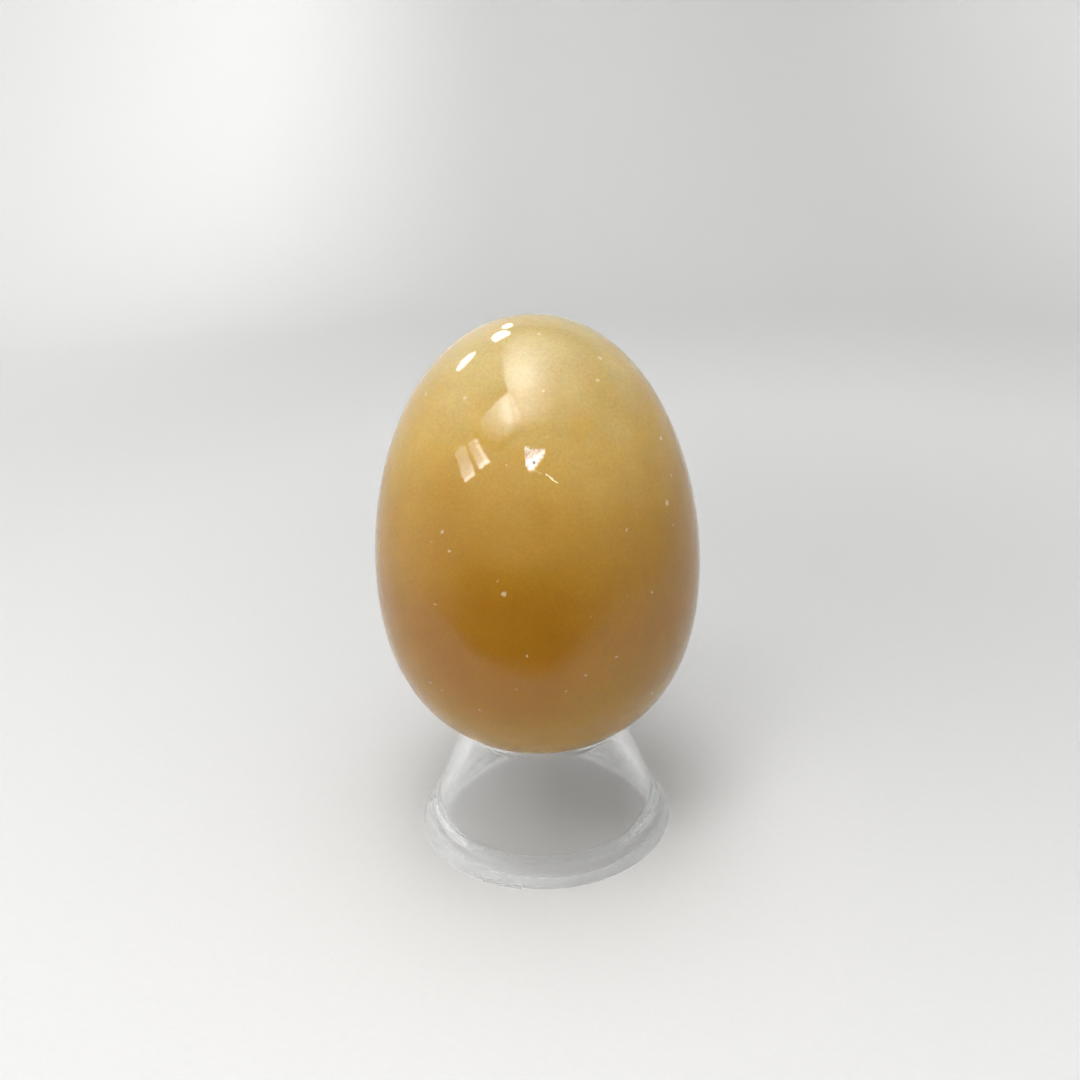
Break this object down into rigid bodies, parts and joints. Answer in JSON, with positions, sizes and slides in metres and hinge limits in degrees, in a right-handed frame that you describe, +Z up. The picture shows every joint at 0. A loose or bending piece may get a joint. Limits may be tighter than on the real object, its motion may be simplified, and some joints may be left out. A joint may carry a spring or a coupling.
{
  "type": "decorative egg on stand",
  "caption": "Polished honey-coloured stone egg resting blunt end down on the lip of a clear moulded ring stand with a flared foot; the egg lifts off.",
  "frame": {"origin": "centre of the stand's floor face, on the common axis of stand and egg", "axes": "+Z up along the axis of the egg and the ring, -Y towards the front, +X to the right seen from the front"},
  "size_m": [0.0458, 0.0458, 0.0769],
  "materials": {
    "polished_stone": "polished, slightly translucent",
    "clear_plastic": "clear, glossy"
  },
  "bodies": {
    "stand": {"stand": "clear_plastic"},
    "egg": {"egg": "polished_stone"}
  },
  "joints": [
    {"name": "egg_lift", "type": "slide", "parent": "stand", "child": "egg", "axis": [0, 0, 1], "range_m": [0, 0.03]}
  ]
}
